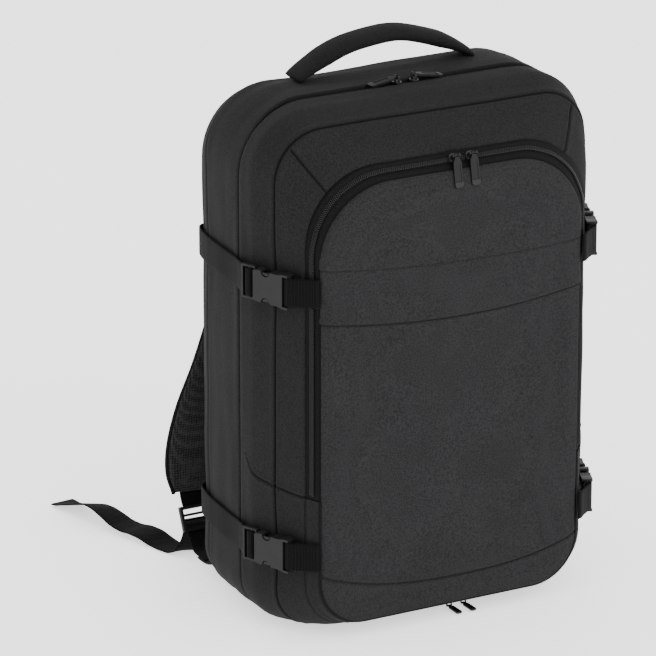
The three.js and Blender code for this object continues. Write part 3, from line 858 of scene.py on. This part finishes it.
def shoulder_straps():
    for side, sign in SIDES.items():
        line = STRAP_LINE.copy()
        line[:, 0] *= sign
        path = smooth_path(line, 90)
        share = np.linspace(0, 1, len(path))
        thick = 12.5 * np.clip(np.minimum(share / 0.05 + 0.45, (1 - share) / 0.06 + 0.4), 0, 1)
        rib = np.exp(-((((share * 7) % 1 - 0.5) / 0.05) ** 2))
        thick = thick - 1.6 * rib * (share > 0.08) * (share < 0.93)
        sections = [soft_section(width - 3, t, 3.0, 44) for width, t in zip(path[:, 3], thick)]
        pad = sweep(f"shoulder_pad_{side}", path[:, :3], [1, 0, 0], sections, AIR_MESH)
        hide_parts(f"shoulder_strap_{side}")
        for edge_name, edge_sign in (("outer", sign), ("inner", -sign)):
            edge = path[:, :3].copy()
            edge[:, 0] += edge_sign * (path[:, 3] / 2 - 1.6)
            name = f"strap_binding_{edge_name}_{side}"
            sweep(name, edge, [1, 0, 0], soft_section(3.4, 4.2, 2.2, 12), WEBBING)
        centre = path[6:-4, :3] + np.array([0, 6.6, 0])
        sweep(f"strap_web_{side}", centre, [1, 0, 0], web_section(20, 1.3), WEBBING)
        loop = place_line(LOOP_LINE, sign, 16)
        sweep(f"strap_loop_{side}", loop, ALONG_X, web_section(WEB, 1.6), WEBBING)
        yoke_section = soft_section(60, 4.5, 3.4, 30)
        yoke_line = place_line(YOKE_LINE, sign, 24)
        yoke = sweep(f"yoke_{side}", yoke_line, ALONG_X, yoke_section, FABRIC)
        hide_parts(f"strap_yoke_{side}")
        lower_line = place_line(LOWER_WEB_LINE, sign, 30)
        lower = sweep(f"lower_web_{side}", lower_line, ALONG_X, web_section(WEB, 1.6), WEBBING)
        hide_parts(f"lower_webbing_{side}")
        tab_section = soft_section(28, 3.2, 3.4, 26)
        tab_line = place_line(TAB_LINE, sign, 14)
        tab = sweep(f"corner_tab_cloth_{side}", tab_line, ALONG_X, tab_section, FABRIC)
        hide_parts(f"corner_tab_{side}")


# ---- Buckles ----


def extruded(outline, low, high, bevel=0.0):
    """A bmesh prism: an outline in the XY plane between two heights."""
    shape = bmesh.new()
    bottom = [shape.verts.new((x, y, low)) for x, y in outline]
    face = shape.faces.new(bottom)
    out = bmesh.ops.extrude_face_region(shape, geom=[face])
    for v in (g for g in out["geom"] if isinstance(g, bmesh.types.BMVert)):
        v.co.z = high
    bmesh.ops.recalc_face_normals(shape, faces=shape.faces)
    if bevel:
        sharp = [e for e in shape.edges if e.calc_face_angle(0) > 0.6]
        bmesh.ops.bevel(
            shape, geom=sharp, offset=bevel, segments=2, profile=0.6, affect="EDGES", clamp_overlap=True
        )
    return shape


def block(u0, u1, v0, v1, n0, n1, bevel=0.0):
    return extruded([(u0, v0), (u1, v0), (u1, v1), (u0, v1)], n0, n1, bevel)


def boolean(first, others, operation):
    """first joined with, or cut by, the others. All are bmesh shapes."""
    base = temporary(first)
    for other in others:
        tool = temporary(other)
        modifier = base.modifiers.new("step", "BOOLEAN")
        modifier.object = tool
        modifier.operation = operation
        modifier.solver = "EXACT"
        made = bpy.data.meshes.new_from_object(base.evaluated_get(bpy.context.evaluated_depsgraph_get()))
        base.modifiers.clear()
        base.data = made
        bpy.data.objects.remove(tool)
    result = bmesh.new()
    result.from_mesh(base.data)
    bpy.data.objects.remove(base)
    return result


def temporary(shape):
    mesh = bpy.data.meshes.new("temporary")
    shape.to_mesh(mesh)
    made = bpy.data.objects.new("temporary", mesh)
    bpy.context.scene.collection.objects.link(made)
    return made


def merged(shapes):
    total = bmesh.new()
    for shape in shapes:
        mesh = bpy.data.meshes.new("part")
        shape.to_mesh(mesh)
        total.from_mesh(mesh)
        bpy.data.meshes.remove(mesh)
    return total


def place_shape(name, shape, matrix, material, body, mirror=False, bevel=0.35):
    """Puts a bmesh shape, in millimetres, into the scene as a softly bevelled piece."""
    mesh = bpy.data.meshes.new(name)
    copy = shape.copy()
    bmesh.ops.transform(copy, matrix=matrix, verts=copy.verts)
    if mirror:
        bmesh.ops.transform(copy, matrix=Matrix.Diagonal((-1, 1, 1, 1)), verts=copy.verts)
        bmesh.ops.reverse_faces(copy, faces=copy.faces)
    bmesh.ops.transform(copy, matrix=Matrix.Scale(MM, 4), verts=copy.verts)
    copy.to_mesh(mesh)
    copy.free()
    mesh.materials.append(material)
    made = bpy.data.objects.new(name, mesh)
    bpy.context.scene.collection.objects.link(made)
    if bevel:
        soft = made.modifiers.new("soft_edges", "BEVEL")
        soft.width = bevel * MM
        soft.segments = 2
        soft.limit_method = "ANGLE"
        soft.angle_limit = math.radians(35)
        soft.harden_normals = False
    mesh.polygons.foreach_set("use_smooth", [True] * len(mesh.polygons))
    smooth = made.modifiers.new("normals", "WEIGHTED_NORMAL")
    smooth.keep_sharp = False
    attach(made, body)
    return made


BUCKLE_AT = (161.9, -26.2)  # x, y of the buckle's rear end on the right
FORWARD = (-0.407, -0.914)  # from the plug to the socket, on the right


def buckle_matrix(z):
    fx, fy = FORWARD
    columns = ((fx, 0, -fy), (fy, 0, fx), (0, -1, 0))
    rotation = Matrix(columns).to_4x4()
    return Matrix.Translation((*BUCKLE_AT, z)) @ rotation


def from_buckle(u, n):
    fx, fy = FORWARD
    return BUCKLE_AT[0] + fx * u - fy * n, BUCKLE_AT[1] + fy * u + fx * n


def arc(centre_u, centre_v, radius, start, end, count=9):
    return [
        (centre_u + radius * math.cos(math.radians(a)), centre_v + radius * math.sin(math.radians(a)))
        for a in np.linspace(start, end, count)
    ]


def female_shape():
    """The socket half: a U-shaped notch on each side, and a flared end that holds the webbing."""
    upper = [(14.5, 12.8), (18, 13.7), (22.2, 14)] + arc(27.5, 14, 4.8, 180, 360)
    upper += [(32.8, 13.9), (38, 13.7), (42, 14.1), (45.5, 15), (50.6, 15)]
    lower = [(u, -v) for u, v in reversed(upper)]
    body = extruded(upper + lower, -1.5, 7.9)
    hollow = block(10, 41.5, -12.1, 12.1, 0.1, 6.4)
    slot = block(45.2, 48.4, -13, 13, -5, 12)
    trim = [block(48.3, 56, -13, 13, *heights) for heights in ((5.2, 12), (-5, 1.3))]
    return boolean(body, [hollow, slot, *trim], "DIFFERENCE")


def male_shape():
    """The plug half: a three-bar frame for the webbing, and two sprung arms with buttons."""
    frame_block = block(-0.5, 14.2, -14.8, 14.8, 1, 4.6)
    slots = [block(low, high, -12.9, 12.9, -2, 8) for low, high in ((1.4, 6.9), (9.1, 13.0))]
    shape = boolean(frame_block, slots, "DIFFERENCE")
    neck = block(12.9, 20, -11.6, 11.6, 0.6, 6)
    tongue = block(19, 38, -2.5, 2.5, 1.5, 5)
    arms = [block(19, 36, *sorted((s * 6.6, s * 8.8)), 1.2, 5.2) for s in (-1, 1)]
    buttons = []
    for s in (-1, 1):
        outline = arc(27.5, 7.6, 4.1, 0, 180, 13) + [(23.4, 6.8), (31.6, 6.8)]
        outline = [(u, s * v) for u, v in outline]
        buttons.append(extruded(outline if s > 0 else outline[::-1], 0.7, 5.9))
        cap = [(u, s * v) for u, v in arc(27.5, 14, 4.2, 200, 340)]
        buttons.append(extruded(cap if s > 0 else cap[::-1], 5.6, 7.3))
    return merged([shape, neck, tongue, *arms, *buttons])


def compression_straps():
    rear_points = [(-3, -0.1), (0.8, -0.1), (3.2, 0.2), (4.3, 2.6), (5.2, 4.7), (6.6, 5.6)]
    rear_points += [(9.4, 5.6), (10.8, 4.7), (11.4, 2.6), (11.5, -0.6)]
    front_points = [(58, -1.4), (53.4, 0.2), (50.6, 0.3), (48, 0.3), (46.6, 1), (46.4, 3.2)]
    front_points += [(46.7, 5.4), (48.2, 6.3), (50.9, 6.2), (54, 4.9), (59, 1.6), (66, -2.2)]
    rear_plan = [(144, 84.5), (151.2, 79), (156.3, 58), (158.6, 32), (159.5, 8), (160.2, -5), (161.6, -15)]
    rear_plan += [from_buckle(*p) for p in rear_points]
    front_plan = [from_buckle(*p) for p in front_points] + [(129, -89.3), (125.6, -90.4)]
    female, male = female_shape(), male_shape()
    for level, z in STRAPS.items():
        rise = 0 if level == "upper" else -1
        for side, sign in SIDES.items():
            name = f"{level}_buckle_%s_{side}"
            mirror = sign < 0
            matrix = buckle_matrix(z)
            socket = place_shape(name % "socket", female, matrix, BUCKLE, BAG, mirror)
            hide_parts(name % "female")
            plug = place_shape(name % "plug", male, matrix, BUCKLE, name % "male", mirror)
            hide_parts(name % "male")
            heights = [z + rise] * 5 + [z + rise / 2] + [z] * (len(rear_plan) - 6)
            rear = smooth_path([(sign * x, y, h) for (x, y), h in zip(rear_plan, heights)], 130)
            web = sweep(f"{level}_side_web_{side}", rear, [0, 0, 1], web_section(), WEBBING)
            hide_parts(f"{level}_side_strap_{side}")
            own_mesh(web)
            front = smooth_path([(sign * x, y, z) for x, y in front_plan], 90)
            stub = sweep(f"{level}_front_web_{side}", front, [0, 0, 1], web_section(), WEBBING)
            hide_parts(f"{level}_strap_stub_{side}")


def ladder_locks():
    """The three-bar adjusters at the foot of the shoulder straps."""
    frame_block = block(-16.5, 16.5, -11, 11, -2, 2.4)
    slots = [block(-13.4, 13.4, low, low + 4.4, -5, 6) for low in (-8.8, -2.2, 4.4)]
    shape = boolean(frame_block, slots, "DIFFERENCE")
    grip = block(-15.5, 15.5, 8.2, 11.4, 1, 4.4)
    shape = merged([shape, grip])
    upright = Matrix.Rotation(math.radians(90), 4, "X") @ Matrix.Rotation(math.pi, 4, "Y")
    tilt = Matrix.Rotation(math.radians(-25), 4, "X") @ upright
    for side, sign in SIDES.items():
        matrix = Matrix.Translation((128, 134.5, 38)) @ tilt
        name = f"ladder_lock_{side}"
        made = place_shape(name, shape, matrix, BUCKLE, BAG, sign < 0, 0.6)
        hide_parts(f"strap_adjuster_{side}")


# ---- Sliders and pulls ----

BAR = 7.4  # height of the pull's bar above the zip, with the slider's own clearance


def slider_shape():
    """A coil-zip slider: a shield-shaped plate with raised flanges, and the arch that holds the pull."""
    plan = arc(-1.2, 0, 4.0, 90, 270, 9) + [(1.5, -3.6), (4.3, -2.2), (4.3, 2.2), (1.5, 3.6)]
    plate = extruded(plan, 1.5, 3.1, 0.35)
    lower = extruded([(u * 0.94, v * 0.94) for u, v in plan], 0.4, 0.9, 0.15)
    post = block(-1.3, 1.3, -1.0, 1.0, 0.5, 2)
    cheeks = [block(s - 0.75, s + 0.75, -1.15, 1.15, 2.6, BAR + 0.75, 0.3) for s in (-3.1, 3.1)]
    bar = block(-3.4, 3.4, -0.62, 0.62, BAR - 0.62, BAR + 0.62, 0.25)
    return merged([plate, lower, post, *cheeks, bar])


def pull_shape():
    """A moulded pull: an eye round the bar, a waist, and a long rounded tab with a sunk face."""
    outline = [(-1.8, 1.4), (-1.9, -1.6), (-2.4, -3.2), (-3.7, -5.2), (-3.9, -9)]
    outline += arc(-1.7, -24.6, 2.3, 180, 270, 6)
    right = [(-u, v) for u, v in reversed(outline)]
    tab = extruded(outline + right, -1.0, 1.0)
    eye = block(-1.4, 1.4, -1.2, 1.2, -4, 4)
    sunk = [block(-2.6, 2.6, -23.5, -8.5, z, z + 2) for z in (0.62, -2.62)]
    return boolean(tab, [eye, *sunk], "DIFFERENCE")


def tip_shape():
    """The small metal cap on a pull's tip."""
    left = [(-4.05, -22.4)] + arc(-1.6, -24.5, 2.5, 180, 270, 6)
    return extruded(left + [(-u, v) for u, v in reversed(left)], -1.25, 1.25)


def zip_frames():
    """Name, origin, direction along the slider's arch, outward direction, tilt of the pull and scale."""
    slope, up, under = Vector((0, -0.781, 0.625)), Vector((0, 0, 1)), Vector((0, -0.233, -0.9725))
    x = Vector((1, 0, 0))
    return [
        ("pocket_left", (3, -83, 411.6), x, slope, 27, 1.0),
        ("pocket_right", (19, -83, 411.6), x, slope, 27, 1.0),
        ("main_left", (-8, -6, 455.9), Vector((0, -1, 0)), up, 10, 1.0),
        ("main_right", (8, -6, 455.9), Vector((0, 1, 0)), up, 10, 1.0),
        ("base_left", (12, -66.1, 6.75), -x, under, -12, 0.7),
        ("base_right", (26, -66.1, 6.75), -x, under, -12, 0.7),
    ]


def zippers():
    slider, pull, tip = slider_shape(), pull_shape(), tip_shape()
    for name, origin, along, outward, tilt, scale in zip_frames():
        across = outward.cross(along)
        turn = Matrix((along, across, outward)).transposed().to_4x4()
        base = Matrix.Translation(origin) @ turn @ Matrix.Scale(scale, 4)
        rider = f"{name}_slider"
        body = place_shape(f"{name}_slider_body", slider, base, METAL, rider, bevel=0.12)
        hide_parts(f"{name}_slider")
        hang = base @ Matrix.Translation((0, 0, BAR)) @ Matrix.Rotation(math.radians(tilt), 4, "X")
        tab = place_shape(f"{name}_pull_tab", pull, hang, PULL, f"{name}_pull", bevel=0.3)
        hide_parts(f"{name}_pull")
        place_shape(f"{name}_pull_tip", tip, hang, METAL, f"{name}_pull", bevel=0.3)


def base_zip():
    path = np.stack([np.linspace(-88, 88, 60), np.full(60, -66.0), np.full(60, 7.0)], 1)
    tape = sweep("base_tape", path, [0, 0.9725, -0.233], soft_section(11, 0.9, 4, 14), TAPE)
    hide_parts("base_zip_tape")
    zip_teeth("base_zip_coil", path - np.array([0, 0.1, 0.4]), np.tile([0, -0.233, -0.9725], (60, 1)), 0)


# ---- Inside ----


def inner_parts():
    finishes = {"laptop_divider": LINING, "pocket_wall": LINING, "back_board": BOARD, "base_board": BOARD}
    for name, material in finishes.items():
        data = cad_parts[name].data
        data.materials.clear()
        data.materials.append(material)


add_camera()
webbing_tails()
add_studio()
rear_gusset()
front_gusset()
zip_tapes()
front_panel()
back_padding()
base()
carry_handle()
shoulder_straps()
compression_straps()
ladder_locks()
zippers()
base_zip()
inner_parts()
